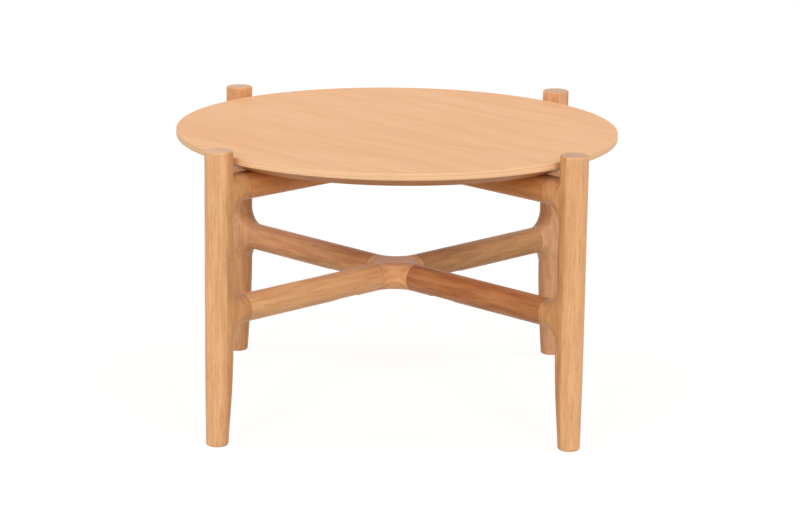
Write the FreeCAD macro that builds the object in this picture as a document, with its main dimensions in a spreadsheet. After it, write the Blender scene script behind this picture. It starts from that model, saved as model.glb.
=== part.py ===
import FreeCAD, Part
import math
import os
import Sketcher

# Round coffee table: a bevelled top inside four corner posts. The frame is four
# leg units and two four-way hubs, drawn together by bolts hidden under the bars.
# The origin is on the floor at the table's axis, the front is towards -Y.

doc = FreeCAD.newDocument("coffee_table")

# Driving sizes in millimetres

SIZES = (
    # Top
    ("top_diameter", 750),
    ("top_thickness", 27.5),
    ("rim_depth", 11),
    ("bevel_width", 37),
    ("rim_rounding", 1.2),
    # Round stock of the posts, rails, stretchers and hubs
    ("stock_diameter", 46.5),
    # Legs
    ("rim_gap", 4.8),
    ("post_rise", 15),
    ("post_end_rounding", 2.6),
    ("foot_diameter", 36.5),
    ("foot_rounding", 3.4),
    ("foot_to_knee", 7.75),
    ("knee_fillet", 26),
    ("shoulder_fillet", 4),
    ("knee_land", 1.25),
    # Rails and stretchers
    ("stretcher_axis_height", 222),
    ("rail_axis_height", 427),
    ("seat_planing", 0.75),
    ("tenon_diameter", 25),
    ("tenon_length", 24),
    ("pocket_width", 28),
    ("pocket_length", 64),
    ("pocket_headroom", 1),
    ("pocket_web", 44),
    # Hubs
    ("hub_fillet", 26.75),
    ("hub_dowel_diameter", 8),
    ("hub_dowel_length", 28),
    ("hub_dowel_offset", 14),
    ("hub_dowel_chamfer", 1),
    # Draw bolts
    ("draw_bolt_diameter", 8),
    ("draw_bolt_head_diameter", 13),
    ("draw_bolt_head_height", 8),
    ("draw_bolt_key_width", 6),
    ("draw_bolt_key_depth", 4),
    ("draw_washer_diameter", 18),
    ("draw_washer_thickness", 2),
    ("hub_insert_diameter", 12),
    ("hub_insert_length", 15),
    # Bolts that hold the top down
    ("top_fixing_radius", 230),
    ("top_bolt_diameter", 6),
    ("top_bolt_head_diameter", 10),
    ("top_bolt_head_height", 6),
    ("top_bolt_key_width", 5),
    ("top_bolt_key_depth", 3),
    ("top_washer_diameter", 16),
    ("top_washer_thickness", 1.6),
    ("top_insert_diameter", 10),
    ("top_insert_length", 14),
    ("counterbore_depth", 15),
    # Clearances
    ("fit_clearance", 0.1),
    ("bolt_clearance", 0.5),
    ("end_clearance", 0.6),
    ("overrun", 3),
)

sheet = doc.addObject("Spreadsheet::Sheet", "Sizes")
for row, (alias, value) in enumerate(SIZES, start=1):
    sheet.set(f"A{row}", alias)
    sheet.set(f"B{row}", str(value))
    sheet.setAlias(f"B{row}", alias)
doc.recompute()

# Derived sizes, written as expressions on the sheet

STOCK = "(Sizes.stock_diameter / 2)"
TOP = "(Sizes.top_diameter / 2)"
POST = f"({TOP} + Sizes.rim_gap + {STOCK})"
KNEE_REACH = f"(Sizes.knee_fillet + {STOCK})"
SHOULDER_REACH = f"(Sizes.shoulder_fillet + {STOCK})"
KNEE_SEAM = f"({POST} - {KNEE_REACH} - Sizes.knee_land)"
HUB_REACH = f"(Sizes.hub_fillet + {STOCK})"
SEAT = f"(Sizes.rail_axis_height + {STOCK} - Sizes.seat_planing)"
SURFACE = f"({SEAT} + Sizes.top_thickness)"
POST_END = f"({SURFACE} + Sizes.post_rise)"
FOOT_INSET = "(Sizes.stock_diameter - Sizes.foot_diameter)"
FOOT_TOP = f"(Sizes.stretcher_axis_height - {KNEE_REACH} - Sizes.foot_to_knee)"
POCKET_START = f"({HUB_REACH} + Sizes.pocket_web)"
POCKET_CEILING = "(Sizes.draw_washer_diameter / 2 + Sizes.pocket_headroom)"
DRAW_TIP = f"({HUB_REACH} - Sizes.hub_insert_length + Sizes.end_clearance)"
RAIL_UNDERSIDE = f"(Sizes.rail_axis_height - {STOCK})"
COUNTERBORE_TOP = f"({RAIL_UNDERSIDE} + Sizes.counterbore_depth)"

# How far the foot's inner side has come in, from the floor to where the taper starts
FOOT_TAPER_SHARES = ((0, 1), (0.2, 0.73), (0.4, 0.46), (0.55, 0.27), (0.7, 0.15), (0.85, 0.045), (1, 0))

CORNERS = ("back_right", "back_left", "front_left", "front_right")

X_AXIS = FreeCAD.Vector(1, 0, 0)
Y_AXIS = FreeCAD.Vector(0, 1, 0)
Z_AXIS = FreeCAD.Vector(0, 0, 1)
UPRIGHT = FreeCAD.Rotation()
OUTWARD = FreeCAD.Rotation(Y_AXIS, 90)
OUTER_HALF = FreeCAD.Rotation(Z_AXIS, -90)
LOWER_HALF = OUTWARD * FreeCAD.Rotation(Z_AXIS, -90)
UPPER_HALF = OUTWARD * FreeCAD.Rotation(Z_AXIS, 90)
BELOW_KNEE = FreeCAD.Rotation(Y_AXIS, 180)
ABOVE_KNEE = FreeCAD.Rotation(Z_AXIS, 180)
FLAT_SADDLE = FreeCAD.Rotation(X_AXIS, -90)

nodes = []


def spoke_angle(corner):
    # The legs stand midway between the table's X and Y axes
    return 360 / len(CORNERS) * (CORNERS.index(corner) + 0.5)


# Shared shapes. Every piece is drawn along the +X spoke, then turned to its corner.

def place(item, x="0", y="0", z="0", turn=UPRIGHT):
    item.Placement = FreeCAD.Placement(FreeCAD.Vector(), turn)
    for axis, expression in (("x", x), ("y", y), ("z", z)):
        if expression != "0":
            item.setExpression(f"Placement.Base.{axis}", expression)
    return item


def cylinder(name, radius, height, x="0", y="0", z="0", turn=UPRIGHT, angle=360):
    item = doc.addObject("Part::Cylinder", name)
    item.setExpression("Radius", radius)
    item.setExpression("Height", height)
    item.Angle = angle
    return place(item, x, y, z, turn)


def box(name, length, width, height, x, z):
    # A block centred across the spoke
    item = doc.addObject("Part::Box", name)
    item.setExpression("Length", length)
    item.setExpression("Width", width)
    item.setExpression("Height", height)
    return place(item, x, f"-({width}) / 2", z)


def fuse(name, items):
    item = doc.addObject("Part::MultiFuse", name)
    item.Shapes = items
    item.Refine = True
    return item


def cut(name, base, tools):
    item = doc.addObject("Part::Cut", name)
    item.Base = base
    item.Tool = tools[0] if len(tools) == 1 else fuse(f"{name}_tools", tools)
    return item


def closed_edges(item):
    # Number and height of each edge that closes on itself, lowest first
    doc.recompute()
    found = [(edge.CenterOfMass.z, number) for number, edge in enumerate(item.Shape.Edges, start=1)
             if edge.Closed]
    return [number for height, number in sorted(found)]


def ease(kind, name, base, size, numbers):
    # Round over or chamfer some edges of a piece, all by one size
    width = sheet.get(size)
    item = doc.addObject(kind, name)
    item.Base = base
    item.Edges = [(number, width, width) for number in numbers]
    return item


def finish(item, label, angle=0):
    # Hand a piece in as a node, turned about the table's axis to its corner
    item.Label = label
    item.Placement = FreeCAD.Placement(FreeCAD.Vector(), FreeCAD.Rotation(Z_AXIS, angle))
    nodes.append(item)


def saddle(name, fillet, x="0", z="0", turn=UPRIGHT):
    # One carved inner corner between two round limbs of the same stock that meet
    # square: a block less the ring that the concave fillet sweeps about its corner.
    reach = f"({fillet} + {STOCK})"
    blank = box(f"{name}_blank", reach, f"2 * {STOCK}", reach, "0", "0")
    ring = doc.addObject("Sketcher::SketchObject", f"{name}_ring_profile")
    reach_now = sheet.get(fillet.split(".")[1]) + sheet.get("stock_diameter") / 2
    stock_now = sheet.get("stock_diameter") / 2
    near_low = FreeCAD.Vector(0, -stock_now, 0)
    far_low = FreeCAD.Vector(reach_now, -stock_now, 0)
    far_high = FreeCAD.Vector(reach_now, stock_now, 0)
    near_high = FreeCAD.Vector(0, stock_now, 0)
    circle = Part.Circle(FreeCAD.Vector(reach_now, 0, 0), Z_AXIS, stock_now)
    ring.addGeometry(Part.LineSegment(near_low, far_low))
    ring.addGeometry(Part.ArcOfCircle(circle, math.pi / 2, 3 * math.pi / 2))
    ring.addGeometry(Part.LineSegment(far_high, near_high))
    ring.addGeometry(Part.LineSegment(near_high, near_low))
    ring.addConstraint(Sketcher.Constraint("Tangent", 0, 2, 1, 2))
    ring.addConstraint(Sketcher.Constraint("Tangent", 1, 1, 2, 1))
    ring.addConstraint(Sketcher.Constraint("Coincident", 2, 2, 3, 1))
    ring.addConstraint(Sketcher.Constraint("Coincident", 3, 2, 0, 1))
    ring.addConstraint(Sketcher.Constraint("Horizontal", 0))
    ring.addConstraint(Sketcher.Constraint("PointOnObject", 2, 2, -2))
    ring.addConstraint(Sketcher.Constraint("PointOnObject", 3, 2, -2))
    ring.addConstraint(Sketcher.Constraint("PointOnObject", 1, 3, -1))
    radius = ring.addConstraint(Sketcher.Constraint("Radius", 1, stock_now))
    centre = ring.addConstraint(Sketcher.Constraint("DistanceX", -1, 1, 1, 3, reach_now))
    ring.setExpression(f"Constraints[{radius}]", STOCK)
    ring.setExpression(f"Constraints[{centre}]", reach)
    sweep = doc.addObject("Part::Revolution", f"{name}_ring")
    sweep.Source = ring
    sweep.Axis = Y_AXIS
    sweep.Angle = 360
    sweep.Solid = True
    place(sweep, reach, "0", reach)
    return place(cut(name, blank, [sweep]), x, "0", z, turn)


def along(name, radius, start, end, y="0", z="0"):
    # A round along the spoke between two distances from the table's axis
    return cylinder(name, radius, f"({end}) - ({start})", start, y, z, OUTWARD)


def upright(name, radius, start, end, x):
    # A round that stands between two heights
    return cylinder(name, radius, f"({end}) - ({start})", x, "0", start)


def key_socket(name, width, depth, x, z, turn=UPRIGHT):
    # Hexagonal key hole, its width across flats
    item = doc.addObject("Part::Prism", name)
    item.Polygon = 6
    item.setExpression("Circumradius", f"{width} / 2 / cos(30 deg)")
    item.setExpression("Height", f"{depth} + Sizes.overrun")
    return place(item, x, "0", z, turn)


# Legs: post, foot and both knees are one carved piece of solid wood

def knee(name, height, above, seam):
    # A knee points at the table's axis and meets its bar at the seam. It has a
    # wide fillet below and the given fillet above.
    below_reach = KNEE_REACH
    above_reach = f"({above} + {STOCK})"
    return [
        saddle(f"{name}_below", "Sizes.knee_fillet", POST, height, BELOW_KNEE),
        saddle(f"{name}_above", above, POST, height, ABOVE_KNEE),
        cylinder(f"{name}_back", STOCK, f"{below_reach} + {above_reach}", POST, "0",
                 f"{height} - {below_reach}", OUTER_HALF, 180),
        cylinder(f"{name}_arm_below", STOCK, f"{POST} - {below_reach} - {seam}", seam, "0",
                 height, LOWER_HALF, 180),
        cylinder(f"{name}_arm_above", STOCK, f"{POST} - {above_reach} - {seam}", seam, "0",
                 height, UPPER_HALF, 180),
    ]


def foot(name):
    # The foot thins on its inner side only: every section touches the post's outer line
    sections = []
    for number, (height_share, inset_share) in enumerate(FOOT_TAPER_SHARES):
        section = doc.addObject("Part::Circle", f"{name}_section_{number}")
        section.setExpression("Radius", f"{STOCK} - {FOOT_INSET} / 2 * {inset_share}")
        place(section, f"{POST} + {FOOT_INSET} / 2 * {inset_share}", "0", f"{FOOT_TOP} * {height_share}")
        sections.append(section)
    loft = doc.addObject("Part::Loft", f"{name}_taper")
    loft.Sections = sections
    loft.Solid = True
    return ease("Part::Fillet", name, loft, "foot_rounding", closed_edges(loft)[:1])


def leg(corner, angle):
    name = f"leg_{corner}"
    stretcher = "Sizes.stretcher_axis_height"
    rail = "Sizes.rail_axis_height"
    end = upright(f"{name}_end_blank", STOCK, f"{rail} + {SHOULDER_REACH}", POST_END, POST)
    limbs = [
        foot(f"{name}_foot"),
        upright(f"{name}_ankle", STOCK, FOOT_TOP, f"{stretcher} - {KNEE_REACH}", POST),
        upright(f"{name}_shank", STOCK, f"{stretcher} + {KNEE_REACH}", f"{rail} - {KNEE_REACH}", POST),
        ease("Part::Fillet", f"{name}_end", end, "post_end_rounding", closed_edges(end)[-1:]),
    ]
    limbs += knee(f"{name}_lower_knee", stretcher, "Sizes.knee_fillet", KNEE_SEAM)
    limbs += knee(f"{name}_upper_knee", rail, "Sizes.shoulder_fillet", KNEE_SEAM)
    sockets = [
        along(f"{name}_{side}_socket", "Sizes.tenon_diameter / 2 + Sizes.fit_clearance",
              f"{KNEE_SEAM} - Sizes.overrun",
              f"{KNEE_SEAM} + Sizes.tenon_length + Sizes.end_clearance", "0", height)
        for side, height in (("lower", stretcher), ("upper", rail))
    ]
    finish(cut(name, fuse(f"{name}_limbs", limbs), sockets), name, angle)


# Stretchers and rails: round bars with a tenon at the knee and a bolt pocket at the hub

def bar(name, height, extra_cuts):
    blank = fuse(f"{name}_blank", [
        along(f"{name}_round", STOCK, HUB_REACH, KNEE_SEAM, "0", height),
        along(f"{name}_tenon", "Sizes.tenon_diameter / 2", KNEE_SEAM,
              f"{KNEE_SEAM} + Sizes.tenon_length", "0", height),
    ])
    pocket_floor = f"{height} - {STOCK} - Sizes.overrun"
    pocket_height = f"{STOCK} + {POCKET_CEILING} + Sizes.overrun"
    pocket_centre = f"{POCKET_START} + Sizes.pocket_length - Sizes.pocket_width / 2"
    cuts = [
        box(f"{name}_pocket", "Sizes.pocket_length - Sizes.pocket_width / 2", "Sizes.pocket_width",
            pocket_height, POCKET_START, pocket_floor),
        cylinder(f"{name}_pocket_end", "Sizes.pocket_width / 2", pocket_height, pocket_centre, "0",
                 pocket_floor),
        along(f"{name}_bolt_bore", "Sizes.draw_bolt_diameter / 2 + Sizes.bolt_clearance",
              f"{HUB_REACH} - Sizes.overrun", f"{POCKET_START} + Sizes.overrun", "0", height),
        along(f"{name}_dowel_hole", "Sizes.hub_dowel_diameter / 2 + Sizes.fit_clearance",
              f"{HUB_REACH} - Sizes.overrun",
              f"{HUB_REACH} + Sizes.hub_dowel_length / 2 + Sizes.end_clearance",
              "Sizes.hub_dowel_offset", height),
    ]
    return cut(name, blank, cuts + extra_cuts)


def stretcher(corner, angle):
    name = f"stretcher_{corner}"
    finish(bar(name, "Sizes.stretcher_axis_height", []), name, angle)


def rail(corner, angle):
    # A rail is planed to seat the top and bored for the bolt that holds it down
    name = f"rail_{corner}"
    seat = box(f"{name}_seat", f"{KNEE_SEAM} - {HUB_REACH} + 2 * Sizes.overrun",
               "Sizes.stock_diameter", "Sizes.seat_planing + Sizes.overrun",
               f"{HUB_REACH} - Sizes.overrun", SEAT)
    bore = upright(f"{name}_top_bore", "Sizes.top_bolt_diameter / 2 + Sizes.bolt_clearance",
                   f"{RAIL_UNDERSIDE} - Sizes.overrun", f"{SEAT} + Sizes.overrun",
                   "Sizes.top_fixing_radius")
    counterbore = upright(f"{name}_counterbore", "Sizes.top_washer_diameter / 2 + Sizes.bolt_clearance",
                          f"{RAIL_UNDERSIDE} - Sizes.overrun", COUNTERBORE_TOP,
                          "Sizes.top_fixing_radius")
    finish(bar(name, "Sizes.rail_axis_height", [seat, bore, counterbore]), name, angle)


# Hubs: four saddles make a cross whose arms end where the bars begin

def hub(name, height, extra_cuts):
    quarters = []
    bores = []
    for corner in CORNERS:
        spin = FreeCAD.Rotation(Z_AXIS, spoke_angle(corner))
        quarters.append(saddle(f"{name}_quarter_{corner}", "Sizes.hub_fillet", "0", height,
                               spin * FLAT_SADDLE))
        arm = [
            along(f"{name}_insert_bore_{corner}", "Sizes.hub_insert_diameter / 2 + Sizes.fit_clearance",
                  f"{HUB_REACH} - Sizes.hub_insert_length", f"{HUB_REACH} + Sizes.overrun", "0", height),
            along(f"{name}_dowel_hole_{corner}", "Sizes.hub_dowel_diameter / 2 + Sizes.fit_clearance",
                  f"{HUB_REACH} - Sizes.hub_dowel_length / 2 - Sizes.end_clearance",
                  f"{HUB_REACH} + Sizes.overrun", "Sizes.hub_dowel_offset", height),
        ]
        holes = fuse(f"{name}_arm_bores_{corner}", arm)
        holes.Placement = FreeCAD.Placement(FreeCAD.Vector(), spin)
        bores.append(holes)
    finish(cut(name, fuse(f"{name}_cross", quarters), bores + extra_cuts), name)


# Table top: a disc whose underside is bevelled from the rim down to the seat

def top():
    body = doc.addObject("PartDesign::Body", "table_top")
    planes = {plane.Role: plane for plane in body.Origin.OriginFeatures}
    sketch = body.newObject("Sketcher::SketchObject", "table_top_profile")
    sketch.AttachmentSupport = [(planes["XZ_Plane"], "")]
    sketch.MapMode = "FlatFace"
    radius = sheet.get("top_diameter") / 2
    under = radius - sheet.get("bevel_width")
    seat = sheet.get("rail_axis_height") + sheet.get("stock_diameter") / 2 - sheet.get("seat_planing")
    surface = seat + sheet.get("top_thickness")
    rim = surface - sheet.get("rim_depth")
    outline = [(0, seat), (under, seat), (radius, rim), (radius, surface), (0, surface)]
    points = [FreeCAD.Vector(x, y, 0) for x, y in outline]
    for start, end in zip(points, points[1:] + points[:1]):
        sketch.addGeometry(Part.LineSegment(start, end))
    for number in range(len(points)):
        following = (number + 1) % len(points)
        sketch.addConstraint(Sketcher.Constraint("Coincident", number, 2, following, 1))
    sketch.addConstraint(Sketcher.Constraint("Horizontal", 0))
    sketch.addConstraint(Sketcher.Constraint("Vertical", 2))
    sketch.addConstraint(Sketcher.Constraint("Horizontal", 3))
    sketch.addConstraint(Sketcher.Constraint("PointOnObject", 0, 1, -2))
    sketch.addConstraint(Sketcher.Constraint("PointOnObject", 3, 2, -2))
    driven = (
        (Sketcher.Constraint("DistanceY", -1, 1, 0, 1, seat), SEAT),
        (Sketcher.Constraint("DistanceY", 0, 1, 3, 2, surface - seat), "Sizes.top_thickness"),
        (Sketcher.Constraint("DistanceX", -1, 1, 2, 2, radius), TOP),
        (Sketcher.Constraint("DistanceX", 0, 2, 1, 2, radius - under), "Sizes.bevel_width"),
        (Sketcher.Constraint("DistanceY", 2, 1, 2, 2, surface - rim), "Sizes.rim_depth"),
    )
    for constraint, expression in driven:
        number = sketch.addConstraint(constraint)
        sketch.setExpression(f"Constraints[{number}]", expression)
    disc = body.newObject("PartDesign::Revolution", "table_top_disc")
    disc.Profile = sketch
    disc.ReferenceAxis = (sketch, ["V_Axis"])
    disc.Angle = 360
    doc.recompute()
    rounding = body.newObject("PartDesign::Fillet", "table_top_arris")
    rim_edges = [
        f"Edge{number}" for number, edge in enumerate(disc.Shape.Edges, start=1)
        if abs(edge.BoundBox.XMax - radius) < Part.Precision.confusion() * 10
        and edge.BoundBox.ZLength < Part.Precision.confusion() * 10
    ]
    rounding.Base = (disc, rim_edges)
    rounding.setExpression("Radius", "Sizes.rim_rounding")
    holes_sketch = body.newObject("Sketcher::SketchObject", "table_top_insert_profile")
    holes_sketch.AttachmentSupport = [(planes["XY_Plane"], "")]
    holes_sketch.MapMode = "FlatFace"
    holes_sketch.setExpression("AttachmentOffset.Base.z", SEAT)
    spread = sheet.get("top_fixing_radius") * math.cos(math.pi / 4)
    bore = sheet.get("top_insert_diameter") / 2 + sheet.get("fit_clearance")
    holes_sketch.addGeometry(Part.Circle(FreeCAD.Vector(spread, spread, 0), Z_AXIS, bore))
    placed = (
        (Sketcher.Constraint("DistanceX", -1, 1, 0, 3, spread), "Sizes.top_fixing_radius * cos(45 deg)"),
        (Sketcher.Constraint("DistanceY", -1, 1, 0, 3, spread), "Sizes.top_fixing_radius * sin(45 deg)"),
        (Sketcher.Constraint("Radius", 0, bore), "Sizes.top_insert_diameter / 2 + Sizes.fit_clearance"),
    )
    for constraint, expression in placed:
        number = holes_sketch.addConstraint(constraint)
        holes_sketch.setExpression(f"Constraints[{number}]", expression)
    pocket = body.newObject("PartDesign::Pocket", "table_top_insert_hole")
    pocket.Profile = holes_sketch
    pocket.Reversed = True
    pocket.setExpression("Length", "Sizes.top_insert_length")
    doc.recompute()
    holes = body.newObject("PartDesign::PolarPattern", "table_top_insert_holes")
    holes.Originals = [pocket]
    holes.Axis = (holes_sketch, ["N_Axis"])
    holes.Angle = 360
    holes.Occurrences = len(CORNERS)
    body.Tip = holes
    body.Label = "table_top"
    doc.recompute()
    bored = disc.Shape.Volume - holes.Shape.Volume
    expected = len(CORNERS) * math.pi * bore ** 2 * sheet.get("top_insert_length")
    print(f"table_top bores remove {bored:.1f} mm3 with the roundings, the bores alone {expected:.1f} mm3")
    nodes.append(body)


# Draw bolts: each pulls its bar against the hub from the pocket under the bar

def draw_fixing(level, corner, angle, height):
    head_start = f"{POCKET_START} + Sizes.draw_washer_thickness"
    bolt = f"{level}_draw_bolt_{corner}"
    solid = fuse(f"{bolt}_solid", [
        along(f"{bolt}_shank", "Sizes.draw_bolt_diameter / 2", DRAW_TIP, head_start, "0", height),
        along(f"{bolt}_head", "Sizes.draw_bolt_head_diameter / 2", head_start,
              f"{head_start} + Sizes.draw_bolt_head_height", "0", height),
    ])
    key_start = f"{head_start} + Sizes.draw_bolt_head_height - Sizes.draw_bolt_key_depth"
    key = key_socket(f"{bolt}_key", "Sizes.draw_bolt_key_width", "Sizes.draw_bolt_key_depth",
                     key_start, height, OUTWARD)
    finish(cut(bolt, solid, [key]), bolt, angle)

    washer = f"{level}_draw_washer_{corner}"
    disc = along(f"{washer}_disc", "Sizes.draw_washer_diameter / 2", POCKET_START, head_start, "0", height)
    hole = along(f"{washer}_hole", "Sizes.draw_bolt_diameter / 2 + Sizes.bolt_clearance",
                 f"{POCKET_START} - Sizes.overrun", f"{head_start} + Sizes.overrun", "0", height)
    finish(cut(washer, disc, [hole]), washer, angle)

    insert = f"{level}_hub_insert_{corner}"
    sleeve = along(f"{insert}_sleeve", "Sizes.hub_insert_diameter / 2",
                   f"{HUB_REACH} - Sizes.hub_insert_length", HUB_REACH, "0", height)
    thread = along(f"{insert}_thread", "Sizes.draw_bolt_diameter / 2 + Sizes.fit_clearance",
                   f"{HUB_REACH} - Sizes.hub_insert_length - Sizes.overrun",
                   f"{HUB_REACH} + Sizes.overrun", "0", height)
    finish(cut(insert, sleeve, [thread]), insert, angle)

    dowel = f"{level}_hub_dowel_{corner}"
    pin = along(f"{dowel}_pin", "Sizes.hub_dowel_diameter / 2",
                f"{HUB_REACH} - Sizes.hub_dowel_length / 2", f"{HUB_REACH} + Sizes.hub_dowel_length / 2",
                "Sizes.hub_dowel_offset", height)
    finish(ease("Part::Chamfer", dowel, pin, "hub_dowel_chamfer", closed_edges(pin)), dowel, angle)


# Bolts that hold the top down: through each rail into an insert in the top

def top_fixing(corner, angle):
    head_end = f"{COUNTERBORE_TOP} - Sizes.top_washer_thickness"
    head_start = f"{head_end} - Sizes.top_bolt_head_height"
    bolt = f"top_bolt_{corner}"
    solid = fuse(f"{bolt}_solid", [
        upright(f"{bolt}_shank", "Sizes.top_bolt_diameter / 2", head_end,
                f"{SEAT} + Sizes.top_insert_length - Sizes.end_clearance", "Sizes.top_fixing_radius"),
        upright(f"{bolt}_head", "Sizes.top_bolt_head_diameter / 2", head_start, head_end,
                "Sizes.top_fixing_radius"),
    ])
    key = key_socket(f"{bolt}_key", "Sizes.top_bolt_key_width", "Sizes.top_bolt_key_depth",
                     "Sizes.top_fixing_radius", f"{head_start} - Sizes.overrun")
    finish(cut(bolt, solid, [key]), bolt, angle)

    washer = f"top_washer_{corner}"
    disc = upright(f"{washer}_disc", "Sizes.top_washer_diameter / 2", head_end, COUNTERBORE_TOP,
                   "Sizes.top_fixing_radius")
    hole = upright(f"{washer}_hole", "Sizes.top_bolt_diameter / 2 + Sizes.bolt_clearance",
                   f"{head_end} - Sizes.overrun", f"{COUNTERBORE_TOP} + Sizes.overrun",
                   "Sizes.top_fixing_radius")
    finish(cut(washer, disc, [hole]), washer, angle)

    insert = f"top_insert_{corner}"
    sleeve = upright(f"{insert}_sleeve", "Sizes.top_insert_diameter / 2", SEAT,
                     f"{SEAT} + Sizes.top_insert_length", "Sizes.top_fixing_radius")
    thread = upright(f"{insert}_thread", "Sizes.top_bolt_diameter / 2 + Sizes.fit_clearance",
                     f"{SEAT} - Sizes.overrun", f"{SEAT} + Sizes.top_insert_length + Sizes.overrun",
                     "Sizes.top_fixing_radius")
    finish(cut(insert, sleeve, [thread]), insert, angle)


top()
planing = box("rail_hub_planing", f"2 * {HUB_REACH} + 2 * Sizes.overrun",
              f"2 * {HUB_REACH} + 2 * Sizes.overrun", "Sizes.seat_planing + Sizes.overrun",
              f"-{HUB_REACH} - Sizes.overrun", SEAT)
hub("stretcher_hub", "Sizes.stretcher_axis_height", [])
hub("rail_hub", "Sizes.rail_axis_height", [planing])
for corner in CORNERS:
    angle = spoke_angle(corner)
    leg(corner, angle)
    stretcher(corner, angle)
    rail(corner, angle)
    draw_fixing("stretcher", corner, angle, "Sizes.stretcher_axis_height")
    draw_fixing("rail", corner, angle, "Sizes.rail_axis_height")
    top_fixing(corner, angle)
doc.recompute()

# Check every object before anything is written

for item in doc.Objects:
    if {"Invalid", "Error"} & set(item.State):
        raise RuntimeError(f"{item.Label} is {item.State}")
for node in nodes:
    if node.Shape.isNull() or not node.Shape.isValid() or len(node.Shape.Solids) != 1:
        raise RuntimeError(f"{node.Label} is not one valid solid")

os.makedirs("parts", exist_ok=True)
for node in nodes:
    node.Shape.exportStep(f"parts/{node.Label}.step")
print(f"{len(nodes)} sub-parts written")
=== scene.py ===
import math
import bmesh
import bpy
from mathutils import Euler, Matrix, Vector


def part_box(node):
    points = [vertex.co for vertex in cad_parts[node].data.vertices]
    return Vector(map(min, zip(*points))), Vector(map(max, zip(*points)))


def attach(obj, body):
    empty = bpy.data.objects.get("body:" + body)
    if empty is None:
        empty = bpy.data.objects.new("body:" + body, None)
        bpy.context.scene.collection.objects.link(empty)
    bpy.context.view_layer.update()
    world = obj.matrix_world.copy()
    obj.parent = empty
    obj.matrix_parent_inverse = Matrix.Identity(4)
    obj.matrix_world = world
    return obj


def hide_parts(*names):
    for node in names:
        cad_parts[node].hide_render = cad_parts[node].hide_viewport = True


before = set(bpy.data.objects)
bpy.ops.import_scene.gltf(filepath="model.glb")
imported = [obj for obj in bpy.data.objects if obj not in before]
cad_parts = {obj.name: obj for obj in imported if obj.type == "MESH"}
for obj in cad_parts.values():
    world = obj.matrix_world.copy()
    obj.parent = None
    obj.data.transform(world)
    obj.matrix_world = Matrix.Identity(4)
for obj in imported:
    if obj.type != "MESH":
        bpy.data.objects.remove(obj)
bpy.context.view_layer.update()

# Lower hub and upper hub
# Four-way crosses carved from one block of oak each. Every inner corner is a
# hollow round, and a thin groove, darkened with painted shade, shows where each arm
# meets its bar.

MM = 0.001
TOUCH = 0.01 * MM
CORNERS = ("back_right", "back_left", "front_left", "front_right")
RIGHT_ANGLE = math.pi / 2
STANDING = (0, 0, 0)
LYING = (0, RIGHT_ANGLE, 0)
ROUND_STEPS = 72
QUARTER_STEPS = 18
BIT_STEPS = 32
SMOOTH_ANGLE = math.radians(35)
SEAM_EASING = 0.5 * MM
INSERT_RADIUS = 6.1 * MM
INSERT_DEPTH = 15 * MM
DOWEL_OFFSET = 14 * MM
DOWEL_HOLE_RADIUS = 4.1 * MM
DOWEL_HOLE_DEPTH = 14.6 * MM

hub_low, hub_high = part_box("stretcher_hub")
STOCK = (hub_high.z - hub_low.z) / 2
STRETCHER_HEIGHT = (hub_high.z + hub_low.z) / 2
HUB_REACH = hub_high.x * math.sqrt(2) - STOCK
rail_low, rail_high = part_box("rail_back_right")
RAIL_HEIGHT = rail_low.z + STOCK
SEAT = rail_high.z


def turn_of(corner):
    # The angle of a corner's spoke about the table's axis
    return RIGHT_ANGLE * (CORNERS.index(corner) + 0.5)


def start(name):
    # Name the primitive just added, settle its place into its mesh and open it for editing
    piece = bpy.context.object
    piece.name = name
    piece.data.name = name
    bpy.ops.object.transform_apply(location=True, rotation=True, scale=True)
    bpy.ops.object.mode_set(mode="EDIT")
    return piece


def circle(name, radius, centre, turn=STANDING, steps=ROUND_STEPS, fill="NOTHING"):
    bpy.ops.object.select_all(action="DESELECT")
    bpy.ops.mesh.primitive_circle_add(
        vertices=steps, radius=radius, fill_type=fill, location=centre, rotation=turn
    )
    return start(name)


def pick(piece, kind, chosen):
    # Select the vertices, edges or faces whose points all pass a test of their place
    bpy.ops.mesh.select_mode(type=kind)
    bpy.ops.mesh.select_all(action="DESELECT")
    mesh = bmesh.from_edit_mesh(piece.data)
    for item in {"VERT": mesh.verts, "EDGE": mesh.edges, "FACE": mesh.faces}[kind]:
        points = [item] if kind == "VERT" else item.verts
        item.select_set(all(chosen(point.co) for point in points))
    mesh.select_flush_mode()
    bmesh.update_edit_mesh(piece.data)


def half_round(name, centre, turn, kept):
    # Half a ring of the round stock, left selected for the first extrusion
    piece = circle(name, STOCK, centre, turn)
    side = Vector(kept)
    pick(piece, "VERT", lambda place: (place - Vector(centre)).dot(side) < -TOUCH)
    bpy.ops.mesh.delete(type="VERT")
    bpy.ops.mesh.select_all(action="SELECT")
    return piece


def run(x=0, y=0, z=0):
    bpy.ops.mesh.extrude_region_move(TRANSFORM_OT_translate={"value": (x, y, z)})


def bend(centre, axis):
    # Carry the selected edge a quarter turn round a hollow corner. The operator turns
    # left-handed.
    bpy.ops.mesh.spin(steps=QUARTER_STEPS, angle=-RIGHT_ANGLE, center=centre, axis=axis)


def join(name, strips):
    bpy.ops.object.select_all(action="DESELECT")
    for strip in strips:
        strip.select_set(True)
    bpy.context.view_layer.objects.active = strips[0]
    bpy.ops.object.join()
    piece = bpy.context.object
    piece.name = name
    piece.data.name = name
    bpy.ops.object.mode_set(mode="EDIT")
    bpy.ops.mesh.select_all(action="SELECT")
    bpy.ops.mesh.remove_doubles(threshold=TOUCH)
    return piece


def cap(piece, chosen):
    # Close an open outline, found by its place, with one flat face
    pick(piece, "VERT", chosen)
    bpy.ops.mesh.edge_face_add()


def ease(offset, segments=2):
    # Round the outline of the selected face
    bpy.ops.mesh.bevel(offset=offset, segments=segments, profile=0.5)


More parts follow.
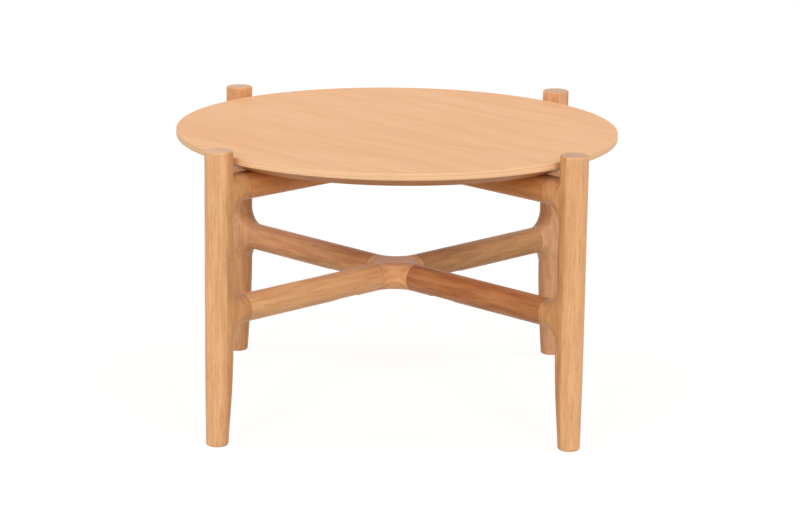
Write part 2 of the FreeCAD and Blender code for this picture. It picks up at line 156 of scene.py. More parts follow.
def plane_seat():
    # Plane the wood off flat at the height where the top rests
    bpy.ops.mesh.select_all(action="SELECT")
    bpy.ops.mesh.bisect(
        plane_co=(0, 0, SEAT), plane_no=(0, 0, 1), use_fill=True, clear_outer=True
    )


def settle():
    # Turn every face outward and leave the mesh
    bpy.ops.mesh.select_all(action="SELECT")
    bpy.ops.mesh.normals_make_consistent(inside=False)
    bpy.ops.object.mode_set(mode="OBJECT")


def cutter(name, radius, centre, turn, length):
    # A round bit for a hole, from its centre along its own axis
    bit = circle(name, radius, centre, turn, BIT_STEPS, "NGON")
    bpy.ops.mesh.select_all(action="SELECT")
    run(*(Matrix.Rotation(turn[1], 3, "Y") @ Vector((0, 0, length))))
    settle()
    return bit


def dowel_bit(height):
    # The dowel's hole, half in the hub and half in the bar
    centre = (HUB_REACH - DOWEL_HOLE_DEPTH, DOWEL_OFFSET, height)
    return cutter("dowel_bit", DOWEL_HOLE_RADIUS, centre, LYING, DOWEL_HOLE_DEPTH * 2)


def hold(piece):
    bpy.ops.object.select_all(action="DESELECT")
    piece.select_set(True)
    bpy.context.view_layer.objects.active = piece


def apply(piece, modifier):
    hold(piece)
    bpy.ops.object.modifier_apply(modifier=modifier.name)


def combine(piece, other, operation):
    # Take the other shape out of the piece, or add it to the piece
    change = piece.modifiers.new(other.name, "BOOLEAN")
    change.operation = operation
    change.solver = "EXACT"
    change.object = other
    apply(piece, change)
    bpy.data.meshes.remove(other.data)


def drill(piece, bits):
    for bit in bits:
        combine(piece, bit, "DIFFERENCE")


def shade(piece):
    hold(piece)
    bpy.ops.object.shade_smooth_by_angle(angle=SMOOTH_ANGLE)
    weighted = piece.modifiers.new("even_shading", "WEIGHTED_NORMAL")
    weighted.keep_sharp = True
    apply(piece, weighted)


def swing(piece, angle):
    # Turn a piece's mesh about the table's axis
    piece.data.transform(Matrix.Rotation(angle, 4, "Z"))
    return piece


def spoke_copy(piece, name, angle):
    # The same shape turned about the table's axis, with a mesh of its own
    copy = piece.copy()
    copy.data = piece.data.copy()
    copy.name = name
    copy.data.name = name
    bpy.context.collection.objects.link(copy)
    return swing(copy, angle)


def stand_in(piece):
    # The piece takes the place of the node of the same name
    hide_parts(piece.name.removesuffix("_wood"))
    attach(piece, "root")
    return piece


class Signal:
    # A shader socket used in sums: each operation adds its Math node
    def __init__(self, finish, socket):
        self.finish = finish
        self.socket = socket

    def __add__(self, other):
        return self.finish.math("ADD", self, other)

    def __sub__(self, other):
        return self.finish.math("SUBTRACT", self, other)

    def __rsub__(self, other):
        return self.finish.math("SUBTRACT", other, self)

    def __mul__(self, other):
        return self.finish.math("MULTIPLY", self, other)

    def __truediv__(self, other):
        return self.finish.math("DIVIDE", self, other)

    def __pow__(self, other):
        return self.finish.math("POWER", self, other)

    def __abs__(self):
        return self.finish.math("ABSOLUTE", self)

    __radd__ = __add__
    __rmul__ = __mul__


class Finish:
    # One material, or the studio's surround. Every node comes from add, which sets
    # it up and feeds its sockets.
    def __init__(self, name, kind="materials", shader="Principled BSDF"):
        self.block = getattr(bpy.data, kind).new(name)
        self.block.use_nodes = True
        self.tree = self.block.node_tree
        self.shader = self.tree.nodes[shader]

    def add(self, kind, settings, inputs, output=0):
        node = self.tree.nodes.new(kind)
        for key, value in settings.items():
            setattr(node, key, value)
        for key, value in inputs.items():
            self.feed(node.inputs[key], value)
        return Signal(self, node.outputs[output])

    def feed(self, socket, value):
        if isinstance(value, Signal):
            self.tree.links.new(value.socket, socket)
        else:
            socket.default_value = value

    def coat(self, **values):
        for name, value in values.items():
            self.feed(self.shader.inputs[name.replace("_", " ")], value)
        return self.block

    def math(self, operation, *values):
        return self.add("ShaderNodeMath", {"operation": operation}, dict(enumerate(values)))

    def place(self):
        return self.add("ShaderNodeTexCoord", {}, {}, "Object")

    def vector(self, operation, inputs, output=0):
        return self.add("ShaderNodeVectorMath", {"operation": operation}, inputs, output)

    def dot(self, vector, other):
        return self.vector("DOT_PRODUCT", {0: vector, 1: other}, "Value")

    def stretched(self, place, amounts):
        return self.vector("MULTIPLY", {0: place, 1: amounts})

    def dim(self, colour, factor):
        return self.vector("SCALE", {0: colour, "Scale": factor})

    def noise(self, place, amounts, detail=2):
        # Soft random values from 0 to 1, with so many blobs a metre along each axis
        blobs = self.stretched(place, amounts)
        return self.add("ShaderNodeTexNoise", {}, {"Vector": blobs, "Scale": 1, "Detail": detail})

    def step(self, value, low, high):
        # 0 below the low value and 1 above the high one, smoothly
        ends = {"Value": value, "From Min": low, "From Max": high}
        return self.add("ShaderNodeMapRange", {"interpolation_type": "SMOOTHSTEP"}, ends)

    def mix(self, factor, colour, other):
        inputs = {0: factor, 6: colour, 7: other}
        return self.add("ShaderNodeMix", {"data_type": "RGBA"}, inputs, 2)

    def along(self, place, axis):
        # One coordinate of a place
        parts = self.add("ShaderNodeSeparateXYZ", {}, {0: place})
        return Signal(self, parts.socket.node.outputs[axis])

    def relief(self, height, depth):
        return self.add("ShaderNodeBump", {}, {"Height": height, "Distance": depth, "Strength": 1})


def tone(red, green, blue):
    # A colour as the eye names it, from 0 to 255, in the linear values that shaders take
    linear = [((part / 255 + 0.055) / 1.055) ** 2.4 for part in (red, green, blue)]
    return (*linear, 1)


RING_WIDTH = 2.6 * MM
RING_SWAY = 6 * MM
RING_DRIFT = 14 * MM
BOARD_AND_SHADE_BLUR = 0.2 * MM
BOARD_SHIFT = (0.31, 0.012, 0.035)
GROOVE_SHADE = 0.76
GROOVE_EDGES = (0.3 * MM, 1.1 * MM)
GRAIN_RELIEF = 0.1 * MM
GLOSS = 0.13

# Marks in oak, in blobs a metre along and across the grain
SWAY_GRAIN = (5, 30, 30)
DRIFT_GRAIN = (1.6, 9, 9)
PORE_GRAIN = (110, 1500, 1500)
FLECK_GRAIN = (48, 430, 430)
FIBRE_GRAIN = (16, 700, 700)
STREAKS_ALONG = 14
STREAKS_ACROSS = 110
FINE_STREAKS_ACROSS = 220

# Values between which the cut end, each part of a year's ring and each mark come in
CUT_END = (0.72, 0.97)
EARLY_WOOD = (0.35, 0.9)
LATE_WOOD = (0.93, 1.0)
PORE_EDGES = (0.58, 0.7)
FLECK_EDGES = (0.54, 0.7)
STREAK_EDGES = (0.3, 0.7)

# The level of clean wood, and how much darker each mark is
CLEAN_WOOD = 1.068
EARLY_DARK = 0.055
PORE_DARK = 0.05
EARLY_PORE_DARK = 0.12
FLECK_DARK = 0.15
FIBRE_SPREAD = 0.3


def solid_wood(name, tones, turn, centre, pith, seams=(), streaks=STREAKS_ACROSS, inner_board_and_shade=None):
    # Solid wood under matt lacquer. The turn brings the grain to X; the pith lies across
    # the grain from the centre, and its first number shifts the figure. The tones are
    # light, deep and cut end. The seams, each an axis and a distance, get painted shade
    # in their grooves.
    # Where two boards are glued, the inner board comes with an axis, a distance and its
    # own tones; on the front legs these are deeper and paint the shade of the inner flank
    # and the knees.
    finish = Finish(name)
    to_grain = Euler(turn).to_matrix()
    place = finish.place()
    shift = Vector(pith) - to_grain @ Vector(centre)
    to_board = {"Vector": place, "Rotation": turn, "Location": shift}
    grain = finish.add("ShaderNodeMapping", {}, to_board)
    if inner_board_and_shade:
        axis, distance, inner_tones = inner_board_and_shade
        outer = finish.step(finish.dot(place, axis), distance - BOARD_AND_SHADE_BLUR, distance + BOARD_AND_SHADE_BLUR)
        light, deep, cut = (finish.mix(outer, inner, own) for inner, own in zip(inner_tones, tones))
        grain = finish.vector("ADD", {0: grain, 1: finish.dim(BOARD_SHIFT, outer)})
    else:
        light, deep, cut = tones
    facing = finish.add("ShaderNodeNewGeometry", {}, {}, "Normal")
    grain_way = to_grain.inverted() @ Vector((1, 0, 0))
    ends = finish.step(abs(finish.dot(facing, grain_way)), *CUT_END)
    sway = (finish.noise(grain, SWAY_GRAIN) - 0.5) * RING_SWAY
    drift = (finish.noise(grain, DRIFT_GRAIN, 1) - 0.5) * RING_DRIFT
    from_pith = finish.vector("LENGTH", {0: finish.stretched(grain, (0, 1, 1))}, "Value")
    year = finish.math("FRACT", (from_pith + sway + drift) / RING_WIDTH)
    early = finish.step(year, *EARLY_WOOD) * (1 - finish.step(year, *LATE_WOOD))
    pores = finish.step(finish.noise(grain, PORE_GRAIN), *PORE_EDGES)
    flecks = finish.step(finish.noise(grain, FLECK_GRAIN), *FLECK_EDGES)
    fibres = finish.noise(grain, FIBRE_GRAIN, 4)
    figure = finish.step(finish.noise(grain, (STREAKS_ALONG, streaks, streaks), 3), *STREAK_EDGES)
    wood = finish.mix(ends, finish.mix(figure, light, deep), cut)
    dark = early * EARLY_DARK + pores * (PORE_DARK + early * EARLY_PORE_DARK) + flecks * FLECK_DARK
    shade = CLEAN_WOOD - dark + (fibres - 0.5) * FIBRE_SPREAD
    # Painted shade in the groove of each seam
    for axis, reach in seams:
        gap = abs(abs(finish.dot(place, axis)) - reach)
        shade = shade * (GROOVE_SHADE + (1 - GROOVE_SHADE) * finish.step(gap, *GROOVE_EDGES))
    return finish.coat(
        Base_Color=finish.dim(wood, shade),
        Roughness=0.35 + pores * 0.12 + (fibres - 0.5) * 0.14 + early * 0.04,
        Specular_IOR_Level=GLOSS,
        Normal=finish.relief(fibres * 0.35 - pores * 0.9 - early * 0.25, GRAIN_RELIEF),
    )


ARM_ENDS = ((1, "x"), (-1, "x"), (1, "y"), (-1, "y"))


def at_arm_end(place, sign, along):
    # On the flat end of one of the hub's arms, which lie along X and Y while it is carved
    return abs(sign * getattr(place, along) - HUB_REACH) < TOUCH


def carve_hub(name, height):
    quarters = []
    for number in range(len(CORNERS)):
        quarter = half_round(f"{name}_quarter", (HUB_REACH, 0, height), LYING, (0, 1, 0))
        bend((HUB_REACH, HUB_REACH, height), (0, 0, -1))
        bpy.ops.object.mode_set(mode="OBJECT")
        quarters.append(swing(quarter, RIGHT_ANGLE * number))
    hub = join(f"{name}_wood", quarters)
    cap(hub, lambda place: abs(place.z - height - STOCK) < TOUCH)
    cap(hub, lambda place: abs(place.z - height + STOCK) < TOUCH)
    for end in ARM_ENDS:
        cap(hub, lambda place: at_arm_end(place, *end))
    if height + STOCK > SEAT:
        plane_seat()
    for end in ARM_ENDS:
        pick(hub, "FACE", lambda place: at_arm_end(place, *end))
        ease(SEAM_EASING)
    settle()
    bits = []
    for number in range(len(CORNERS)):
        insert_end = (HUB_REACH - INSERT_DEPTH, 0, height)
        insert_bit = cutter("insert_bit", INSERT_RADIUS, insert_end, LYING, INSERT_DEPTH * 2)
        bits.append(swing(insert_bit, RIGHT_ANGLE * number))
        bits.append(swing(dowel_bit(height), RIGHT_ANGLE * number))
    drill(hub, bits)
    shade(hub)
    swing(hub, RIGHT_ANGLE / 2)
    return stand_in(hub)


def dress(piece, material, *others):
    # The first material everywhere; each other one on the faces that its test picks
    piece.data.materials.clear()
    piece.data.materials.append(material)
    for number, (other, chosen) in enumerate(others, start=1):
        piece.data.materials.append(other)
        for face in piece.data.polygons:
            if chosen(face):
                face.material_index = number


HUB_TONES = (tone(236, 181, 132), tone(218, 158, 109), tone(210, 160, 118))
DIAGONALS = (Vector((1, 1, 0)).normalized(), Vector((1, -1, 0)).normalized())
HUB_GRAIN = (0, 0, 0)
HUB_PITH = (0.012, 0.075)

for name, height in (("stretcher_hub", STRETCHER_HEIGHT), ("rail_hub", RAIL_HEIGHT)):
    seams = [(axis, HUB_REACH) for axis in DIAGONALS]
    pith = (height, *HUB_PITH)
    hub_oak = solid_wood(f"{name}_oak", HUB_TONES, HUB_GRAIN, (0, 0, height), pith, seams)
    dress(carve_hub(name, height), hub_oak)

# Four legs
# Each is glued up of two oak boards and carved as one piece: a round post, a tapered
# foot and two knees, bored for the bars' tenons. The post's end is rounded over. On the
# front legs the inner board's deeper tone is painted shade.

KNEE_FILLET = 26 * MM
SHOULDER_FILLET = 4 * MM
FOOT_TOP = 165 * MM
FOOT_INSET = 10 * MM
FOOT_TAPER_SHARES = ((0.85, 0.045), (0.7, 0.15), (0.55, 0.27), (0.4, 0.46), (0.2, 0.73), (0, 1))
FOOT_ROUNDING = 3.4 * MM
END_ROUNDING = 2.6 * MM
ROUNDING_STEPS = 5
SOCKET_RADIUS = 12.6 * MM
SOCKET_DEPTH = 24.6 * MM

leg_low, leg_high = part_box("leg_back_right")
POST = (leg_high.x - STOCK) * math.sqrt(2)
KNEE_SEAM = leg_low.x * math.sqrt(2) + STOCK
POST_END = leg_high.z
BEND = KNEE_FILLET + STOCK
SHOULDER = SHOULDER_FILLET + STOCK
ARM = POST - BEND - KNEE_SEAM


def carve_leg():
    # Lay strips along the outline of post and knees, close them with flat flanks, then
    # draw out the foot and the post's end and sink the sockets
    lower_seam = (KNEE_SEAM, 0, STRETCHER_HEIGHT)
    upper_seam = (KNEE_SEAM, 0, RAIL_HEIGHT)
    inside_turn, outside_turn = (0, 1, 0), (0, -1, 0)
    below = half_round("leg_below", lower_seam, LYING, (0, 0, -1))
    run(x=ARM)
    bend((POST - BEND, 0, STRETCHER_HEIGHT - BEND), inside_turn)
    bpy.ops.object.mode_set(mode="OBJECT")
    middle = half_round("leg_middle", lower_seam, LYING, (0, 0, 1))
    run(x=ARM)
    bend((POST - BEND, 0, STRETCHER_HEIGHT + BEND), outside_turn)
    run(z=RAIL_HEIGHT - STRETCHER_HEIGHT - 2 * BEND)
    bend((POST - BEND, 0, RAIL_HEIGHT - BEND), outside_turn)
    run(x=-ARM)
    bpy.ops.object.mode_set(mode="OBJECT")
    shoulder = half_round("leg_shoulder", upper_seam, LYING, (0, 0, 1))
    run(x=ARM)
    run(x=BEND - SHOULDER)
    bend((POST - SHOULDER, 0, RAIL_HEIGHT + SHOULDER), outside_turn)
    bpy.ops.object.mode_set(mode="OBJECT")
    back = half_round("leg_back", (POST, 0, STRETCHER_HEIGHT - BEND), STANDING, (1, 0, 0))
    run(z=2 * BEND)
    run(z=RAIL_HEIGHT - STRETCHER_HEIGHT - 2 * BEND)
    run(z=BEND + SHOULDER)
    bpy.ops.object.mode_set(mode="OBJECT")
    leg = join("leg", [below, middle, shoulder, back])
    for side in (STOCK, -STOCK):
        cap(leg, lambda place: abs(place.y - side) < TOUCH
            and place.x > POST - BEND - TOUCH
            and abs(place.z - STRETCHER_HEIGHT) < BEND + TOUCH)
        cap(leg, lambda place: abs(place.y - side) < TOUCH
            and place.x > POST - BEND - TOUCH
            and place.z > RAIL_HEIGHT - BEND - TOUCH)
    pick(leg, "EDGE", lambda place: abs(place.z - STRETCHER_HEIGHT + BEND) < TOUCH)
    run(z=FOOT_TOP - STRETCHER_HEIGHT + BEND)
    radius = STOCK
    above = FOOT_TOP
    for height_share, inset_share in FOOT_TAPER_SHARES:
        section = STOCK - FOOT_INSET / 2 * inset_share
        height = FOOT_TOP * height_share
        run(z=height - above)
        bpy.ops.transform.resize(value=(section / radius, section / radius, 1),
                                 center_override=(POST + STOCK, 0, height))
        radius = section
        above = height
    bpy.ops.mesh.edge_face_add()
    ease(FOOT_ROUNDING, ROUNDING_STEPS)
    pick(leg, "EDGE", lambda place: abs(place.z - RAIL_HEIGHT - SHOULDER) < TOUCH)
    run(z=POST_END - RAIL_HEIGHT - SHOULDER)
    bpy.ops.mesh.edge_face_add()
    ease(END_ROUNDING, ROUNDING_STEPS)
    for height in (STRETCHER_HEIGHT, RAIL_HEIGHT):
        cap(leg, lambda place: abs(place.x - KNEE_SEAM) < TOUCH
            and abs(place.z - height) < STOCK + TOUCH)
        ease(SEAM_EASING)
        pick(leg, "FACE", lambda place: abs(place.x - KNEE_SEAM) < TOUCH
             and abs(place.z - height) < STOCK)
        bpy.ops.mesh.inset(thickness=STOCK - SEAM_EASING - SOCKET_RADIUS)
        run(x=SOCKET_DEPTH)
    settle()
    shade(leg)
    return leg


# Each leg is glued up of an outer board and an inner one that holds the knees. Tones of
# each board: light, deep and cut end. On the front legs the inner board's tones are
# deeper: painted shade on the inner flank and the knees.
BOARD_AND_SHADE_LINE = POST + 2.8 * MM
LEG_GRAIN = (0, RIGHT_ANGLE, 0)
LEG_PITH = 0.045
PITH_STEP = -0.02
FIGURE_STEP = 0.7
OUTER_TONES = {
    "back_right": (tone(218, 160, 112), tone(206, 144, 98), tone(203, 156, 122)),
    "back_left": (tone(222, 162, 114), tone(208, 146, 98), tone(216, 170, 130)),
    "front_left": (tone(232, 182, 131), tone(222, 165, 119), tone(219, 170, 134)),
    "front_right": (tone(232, 180, 128), tone(222, 166, 120), tone(197, 150, 113)),
}
INNER_BOARD_AND_SHADE_TONES = {
    "back_right": (tone(231, 180, 136), tone(215, 157, 114), tone(203, 156, 120)),
    "back_left": (tone(223, 169, 122), tone(206, 148, 101), tone(208, 160, 118)),
    "front_left": (tone(224, 169, 116), tone(206, 148, 98), tone(212, 160, 120)),
    "front_right": (tone(219, 162, 109), tone(202, 141, 92), tone(190, 146, 112)),
}

first_leg = carve_leg()
for number, corner in enumerate(CORNERS):
    leg = spoke_copy(first_leg, f"leg_{corner}_wood", turn_of(corner))
    post = Matrix.Rotation(turn_of(corner), 3, "Z") @ Vector((POST, 0, 0))
    pith = (number * FIGURE_STEP, LEG_PITH, number * PITH_STEP)
    spoke = post.normalized()
    leg_oak = solid_wood(
        f"leg_{corner}_oak", OUTER_TONES[corner], LEG_GRAIN, post, pith,
        seams=[(spoke, KNEE_SEAM)],
        inner_board_and_shade=(spoke, BOARD_AND_SHADE_LINE, INNER_BOARD_AND_SHADE_TONES[corner]),
    )
    dress(stand_in(leg), leg_oak)
bpy.data.meshes.remove(first_leg.data)

# Four stretchers and four rails
# Turned oak bars with a tenon for the knee. A slot in the underside takes the draw
# bolt at the hub; each rail also has a planed seat and a stepped bolt hole.

TENON_RADIUS = 12.5 * MM
TENON_LENGTH = 24 * MM
TENON_EASING = 1 * MM
TENON_ROOT = 2 * MM
TENON_STEPS = 48
POCKET_START = HUB_REACH + 44 * MM
POCKET_WIDTH = 28 * MM
POCKET_LENGTH = 64 * MM
POCKET_CEILING = 10 * MM
BOLT_BORE_RADIUS = 4.5 * MM
FIXING_RADIUS = 230 * MM
TOP_BORE_RADIUS = 3.5 * MM
COUNTERBORE_RADIUS = 8.5 * MM
COUNTERBORE_DEPTH = 15 * MM
OVERRUN = 3 * MM


def pocket_bit(height):
    # The slot's shape: one square end towards the hub and one round end
    half = POCKET_WIDTH / 2
    centre = POCKET_START + POCKET_LENGTH - half
    bit = circle("pocket_bit", half, (centre, 0, height - 2 * STOCK), steps=BIT_STEPS)
    pick(bit, "VERT", lambda place: place.x < centre - TOUCH)
    bpy.ops.mesh.delete(type="VERT")
    pick(bit, "VERT", lambda place: abs(place.x - centre) < TOUCH)
    run(x=POCKET_START - centre)
    bpy.ops.mesh.select_all(action="SELECT")
    bpy.ops.mesh.edge_face_add()
    bpy.ops.mesh.select_all(action="SELECT")
    run(z=2 * STOCK + POCKET_CEILING)
    settle()
    return bit


def turn_bar(name, height, seated):
    bar = circle(name, STOCK, (HUB_REACH, 0, height), LYING, ROUND_STEPS, "NGON")
    bpy.ops.mesh.select_all(action="SELECT")
    run(x=KNEE_SEAM - HUB_REACH)
    if seated:
        plane_seat()
    for end in (HUB_REACH, KNEE_SEAM):
        pick(bar, "FACE", lambda place: abs(place.x - end) < TOUCH)
        ease(SEAM_EASING)
    settle()
    tenon_start = (KNEE_SEAM - TENON_ROOT, 0, height)
    tenon = circle("tenon", TENON_RADIUS, tenon_start, LYING, TENON_STEPS, "NGON")
    bpy.ops.mesh.select_all(action="SELECT")
    run(x=TENON_ROOT + TENON_LENGTH)
    ease(TENON_EASING)
    settle()
    combine(bar, tenon, "UNION")
    bolt_start = (HUB_REACH - OVERRUN, 0, height)
    bolt_run = POCKET_START - HUB_REACH + 2 * OVERRUN
    bits = [
        pocket_bit(height),
        cutter("bolt_bit", BOLT_BORE_RADIUS, bolt_start, LYING, bolt_run),
        dowel_bit(height),
    ]
    if seated:
        below = (FIXING_RADIUS, 0, height - 2 * STOCK)
        wide_run = STOCK + COUNTERBORE_DEPTH
        bits.append(cutter("bore_bit", TOP_BORE_RADIUS, below, STANDING, 4 * STOCK))
        bits.append(cutter("counterbore_bit", COUNTERBORE_RADIUS, below, STANDING, wide_run))
    drill(bar, bits)
    shade(bar)
    return bar


BAR_PITH = (0.04, 0.03)

# Tones of each bar: light, deep and cut end. The rails' tones are made more saturated:
# painted shade under the top.
BAR_END = tone(190, 140, 100)
BAR_TONES = {
    "stretcher_back_right": (tone(204, 152, 104), tone(182, 132, 86), BAR_END),
    "stretcher_back_left": (tone(220, 162, 116), tone(200, 138, 94), BAR_END),
    "stretcher_front_left": (tone(234, 182, 131), tone(223, 165, 117), BAR_END),
    "stretcher_front_right": (tone(201, 138, 90), tone(177, 111, 69), BAR_END),
    "rail_back_right": (tone(220, 160, 108), tone(204, 144, 94), BAR_END),
    "rail_back_left": (tone(222, 163, 112), tone(206, 148, 98), BAR_END),
    "rail_front_left": (tone(222, 154, 98), tone(206, 138, 84), BAR_END),
    "rail_front_right": (tone(215, 149, 91), tone(197, 132, 79), BAR_END),
}

for level, height in (("stretcher", STRETCHER_HEIGHT), ("rail", RAIL_HEIGHT)):
    first_bar = turn_bar(level, height, level == "rail")
    for corner in CORNERS:
        name = f"{level}_{corner}"
        bar = spoke_copy(first_bar, f"{name}_wood", turn_of(corner))
        spoke = Matrix.Rotation(turn_of(corner), 3, "Z") @ Vector((1, 0, 0))
        seams = [(spoke, HUB_REACH), (spoke, KNEE_SEAM)]
        grain_turn = (0, 0, -turn_of(corner))
        pith = (height + turn_of(corner), *BAR_PITH)
        tones = BAR_TONES[name]
        bar_oak = solid_wood(f"{name}_oak", tones, grain_turn, (0, 0, height), pith, seams)
        dress(stand_in(bar), bar_oak)
    bpy.data.meshes.remove(first_bar.data)

# Table top
# A veneered board with a solid oak edge, bevelled underneath from the rim down to the
# seat. Both rim arrises are lightly rounded. Four holes underneath take the inserts.

UNDER_RADIUS = 338 * MM
RIM_DEPTH = 11 * MM
RIM_ROUNDING = 1.2 * MM
RIM_STEPS = 4
RIM_MARGIN = 2 * MM
TOP_STEPS = 288
TOP_INSERT_RADIUS = 5.1 * MM
TOP_INSERT_DEPTH = 14 * MM
LEVEL_ENOUGH = 0.99

_, top_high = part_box("table_top")
TOP_RADIUS = top_high.x
SURFACE = top_high.z
UNDERSIDE = SURFACE - RIM_DEPTH - RIM_MARGIN


def turn_top():
    top = circle("table_top_wood", UNDER_RADIUS, (0, 0, SEAT), steps=TOP_STEPS, fill="NGON")
    bpy.ops.mesh.select_all(action="SELECT")
    run(z=SURFACE - RIM_DEPTH - SEAT)
    bpy.ops.transform.resize(value=(TOP_RADIUS / UNDER_RADIUS, TOP_RADIUS / UNDER_RADIUS, 1),
                             center_override=(0, 0, SURFACE - RIM_DEPTH))
    run(z=RIM_DEPTH)
    for level in (SURFACE, SURFACE - RIM_DEPTH):
        pick(top, "EDGE", lambda place: abs(place.z - level) < TOUCH
             and place.xy.length > TOP_RADIUS - RIM_MARGIN)
        ease(RIM_ROUNDING, RIM_STEPS)
    settle()
    bits = []
    for corner in CORNERS:
        below = (FIXING_RADIUS, 0, SEAT - TOP_INSERT_DEPTH)
        bit = cutter("insert_bit", TOP_INSERT_RADIUS, below, STANDING, 2 * TOP_INSERT_DEPTH)
        bits.append(swing(bit, turn_of(corner)))
    drill(top, bits)
    shade(top)
    return stand_in(top)


VENEER_TURN = (0, 0, math.radians(46))
VENEER_SWAY = 50 * MM
TOP_GLOSS = 0.05
EDGE_RELIEF = 0.08 * MM
VENEER_RELIEF = 0.06 * MM
FACE_TONES = (tone(241, 187, 141), tone(234, 176, 128), tone(235, 190, 160))
# The underside's tones are deeper and more saturated than the face's: painted shade under the top
UNDERSIDE_SHADE_TONES = (tone(206, 143, 90), tone(192, 130, 80), tone(204, 147, 101))
EDGE_LIGHT = tone(247, 203, 160)
EDGE_DEEP = tone(234, 186, 143)


def edge_wood(name, light, deep):
    # Solid edging bent round the rim: its grain runs round the table. The turn about
    # the axis starts at the back, where the edging's ends meet.
    finish = Finish(name)
    x, y, z = (finish.along(finish.place(), axis) for axis in range(3))
    round_way = finish.math("ARCTAN2", x, 0 - y) * TOP_RADIUS
    out_way = (x * x + y * y) ** 0.5
    grain = finish.add("ShaderNodeCombineXYZ", {}, {0: round_way, 1: out_way, 2: z})
    layers = finish.step(finish.noise(grain, (4, 260, 620), 3), 0.3, 0.7)
    pores = finish.step(finish.noise(grain, (90, 1200, 1500)), 0.57, 0.7)
    fibres = finish.noise(grain, (14, 700, 900), 4)
    wood = finish.mix(layers, light, deep)
    shade = 1.02 - pores * 0.07 + (fibres - 0.5) * 0.14
    return finish.coat(
        Base_Color=finish.dim(wood, shade),
        Roughness=0.42 + pores * 0.1 + (fibres - 0.5) * 0.1,
        Specular_IOR_Level=TOP_GLOSS,
        Normal=finish.relief(fibres * 0.3 - pores * 0.8, EDGE_RELIEF),
    )


def veneer(name, light, deep, pale):
    # Sliced oak veneer: soft long figure, a few thin dark lines, pale clouds and fine pores
    finish = Finish(name)
    to_board = {"Vector": finish.place(), "Rotation": VENEER_TURN}
    grain = finish.add("ShaderNodeMapping", {}, to_board)
    sway = finish.noise(grain, (2.2, 7, 0))
    bent = finish.along(grain, 1) + (sway - 0.5) * VENEER_SWAY
    flow = finish.add("ShaderNodeCombineXYZ", {}, {0: finish.along(grain, 0), 1: bent})
    broad = finish.noise(flow, (2, 22, 0), 3)
    narrow = finish.noise(flow, (6, 100, 0), 3)
    figure = finish.step(broad * 0.55 + narrow * 0.45, 0.36, 0.64)
    lines = finish.step(finish.noise(flow, (3.4, 120, 0)), 0.6, 0.76)
    patches = finish.step(finish.noise(grain, (2.6, 5, 0), 1), 0.45, 0.65)
    pores = finish.step(finish.noise(grain, (70, 1100, 0)), 0.57, 0.72)
    fibres = finish.noise(flow, (9, 420, 0), 4)
    clouds = finish.step(finish.noise(grain, (5, 14, 0), 3), 0.56, 0.8)
    wood = finish.mix(clouds * 0.4, finish.mix(figure, light, deep), pale)
    shade = 1.01 - lines * patches * 0.1 - pores * 0.04 + (fibres - 0.5) * 0.08
    return finish.coat(
        Base_Color=finish.dim(wood, shade),
        Roughness=0.44 + pores * 0.1 + (fibres - 0.5) * 0.1,
        Specular_IOR_Level=TOP_GLOSS,
        Normal=finish.relief(fibres * 0.3 - pores * 0.8, VENEER_RELIEF),
    )


dress(
    turn_top(),
    edge_wood("top_edge_oak", EDGE_LIGHT, EDGE_DEEP),
    (veneer("top_veneer", *FACE_TONES), lambda face: face.normal.z > LEVEL_ENOUGH),
    (veneer("underside_shaded_veneer", *UNDERSIDE_SHADE_TONES), lambda face: face.center.z < UNDERSIDE),
)

# Bolts, washers, inserts and dowels
# Zinc-plated steel bolts and washers, turned brass inserts pressed into the wood, and
# beech dowels. All lie in their holes, and only the bolts' heads show, from underneath.


def plated_steel(name):
    # Bright zinc with faint cloudy patches and fine scratches
    finish = Finish(name)
    place = finish.place()
    clouds = finish.noise(place, (260, 260, 260), 3)
    scratches = finish.step(finish.noise(place, (900, 900, 3500)), 0.6, 0.75)
    metal = finish.mix(clouds, tone(214, 216, 220), tone(186, 190, 196))
    return finish.coat(Base_Color=finish.dim(metal, 1 - scratches * 0.12), Metallic=1,
                       Roughness=0.28 + clouds * 0.16 + scratches * 0.15,
                       Normal=finish.relief(clouds * 0.2 - scratches, 0.01 * MM))


def turned_brass(name):
    # Yellow brass, dull in patches, with fine tool marks
    finish = Finish(name)
    place = finish.place()
    dull = finish.noise(place, (180, 180, 180), 3)
    marks = finish.noise(place, (4200, 4200, 4200), 1)
    metal = finish.mix(dull, tone(224, 190, 118), tone(188, 150, 84))
    return finish.coat(Base_Color=metal, Metallic=1, Roughness=0.3 + dull * 0.2,
                       Normal=finish.relief(marks, 0.008 * MM))


DOWEL_TONES = (tone(226, 190, 152), tone(214, 174, 136), tone(196, 152, 116))
DOWEL_PITH = (0.03, 0.02)
steel = plated_steel("zinc_plated_steel")
brass = turned_brass("turned_brass")


def cover(node, material):
    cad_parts[node].material_slots[0].material = material


for corner in CORNERS:
    for level, height in (("stretcher", STRETCHER_HEIGHT), ("rail", RAIL_HEIGHT)):
        cover(f"{level}_draw_bolt_{corner}", steel)
        cover(f"{level}_draw_washer_{corner}", steel)
        cover(f"{level}_hub_insert_{corner}", brass)
        beech = solid_wood(
            f"{level}_dowel_beech_{corner}", DOWEL_TONES, (0, 0, -turn_of(corner)),
            (0, 0, height), (height, *DOWEL_PITH), streaks=FINE_STREAKS_ACROSS,
        )
        cover(f"{level}_hub_dowel_{corner}", beech)
    cover(f"top_bolt_{corner}", steel)
    cover(f"top_washer_{corner}", steel)
    cover(f"top_insert_{corner}", brass)

# Camera
# Where the photographer stood: a long lens, a little above the table and well back.
# Its place, angles and length were fitted to the photo's outlines of top and posts.

FOCAL_LENGTH = 124.167
SENSOR_WIDTH = 36
CAMERA_PLACE = (-0.000576, -4.611927, 1.39329)
CAMERA_YAW = 0.001811
CAMERA_PITCH = 0.241445
CAMERA_ROLL = 0.0136

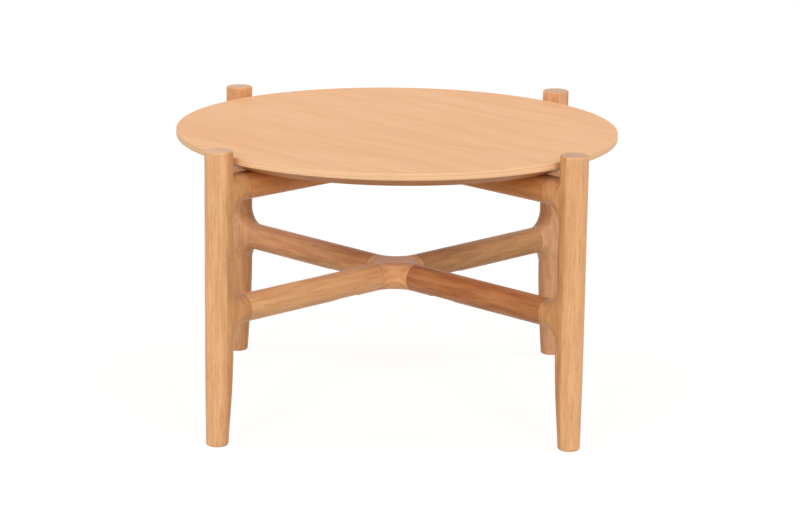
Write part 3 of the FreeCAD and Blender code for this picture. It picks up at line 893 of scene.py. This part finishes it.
camera_data = bpy.data.cameras.new("camera")
camera_data.lens = FOCAL_LENGTH
camera_data.sensor_width = SENSOR_WIDTH
camera = bpy.data.objects.new("camera", camera_data)
bpy.context.collection.objects.link(camera)
camera.matrix_world = (
    Matrix.Translation(CAMERA_PLACE)
    @ Matrix.Rotation(-CAMERA_YAW, 4, "Z")
    @ Matrix.Rotation(RIGHT_ANGLE - CAMERA_PITCH, 4, "X")
    @ Matrix.Rotation(CAMERA_ROLL, 4, "Z")
)
bpy.context.scene.camera = camera

# Studio
# A white paper floor, an even white surround, and soft lamps: two in front, one to each
# side and a weak one above. The camera sees paper and surround white, with the table's
# faint shadow on the paper.

WHITE = (1, 1, 1, 1)
PAPER_TONE = tone(192, 184, 172)
PAPER_SIZE = 60
PAPER_GLOW = 1.25
PAPER_SEEN = 0.72
SURROUND_LIGHT = 0.3


def looked_at(finish):
    # 1 where the camera looks, straight, by a reflection or through glass
    kinds = ("Is Camera Ray", "Is Glossy Ray", "Is Transmission Ray")
    straight, mirrored, through = (
        finish.add("ShaderNodeLightPath", {}, {}, kind) for kind in kinds
    )
    return finish.math("MAXIMUM", finish.math("MAXIMUM", straight, mirrored), through)


bpy.ops.object.select_all(action="DESELECT")
bpy.ops.mesh.primitive_plane_add(size=PAPER_SIZE)
floor = bpy.context.object
floor.name = "studio_floor"
paper = Finish("studio_paper")
floor.data.materials.append(paper.coat(Base_Color=PAPER_TONE, Roughness=0.9))
glow = paper.add("ShaderNodeEmission", {}, {"Color": WHITE, "Strength": PAPER_GLOW})
shadowed = Signal(paper, paper.shader.outputs[0])
share = looked_at(paper) * PAPER_SEEN
blend = paper.add("ShaderNodeMixShader", {}, {0: share, 1: shadowed, 2: glow})
paper.feed(paper.tree.nodes["Material Output"].inputs["Surface"], blend)

surround = Finish("studio_surround", "worlds", "Background")
strength = SURROUND_LIGHT + looked_at(surround) * (1 - SURROUND_LIGHT)
bpy.context.scene.world = surround.coat(Color=WHITE, Strength=strength)

# Each lamp's lean from straight down, its side from the front, its spread and power
LAMPS = {
    "lamp_front_left": (64, -26, 24, 1.0),
    "lamp_front_right": (64, 26, 24, 1.0),
    "lamp_left": (48, -88, 24, 0.68),
    "lamp_right": (48, 88, 24, 0.68),
    "lamp_above": (8, 0, 50, 0.3),
}
for name, (lean, side, spread, power) in LAMPS.items():
    lamp_data = bpy.data.lights.new(name, "SUN")
    lamp_data.angle = math.radians(spread)
    lamp_data.energy = power
    lamp = bpy.data.objects.new(name, lamp_data)
    bpy.context.collection.objects.link(lamp)
    lamp.rotation_euler = (math.radians(lean), 0, math.radians(side))
bpy.context.scene.view_settings.view_transform = "Standard"
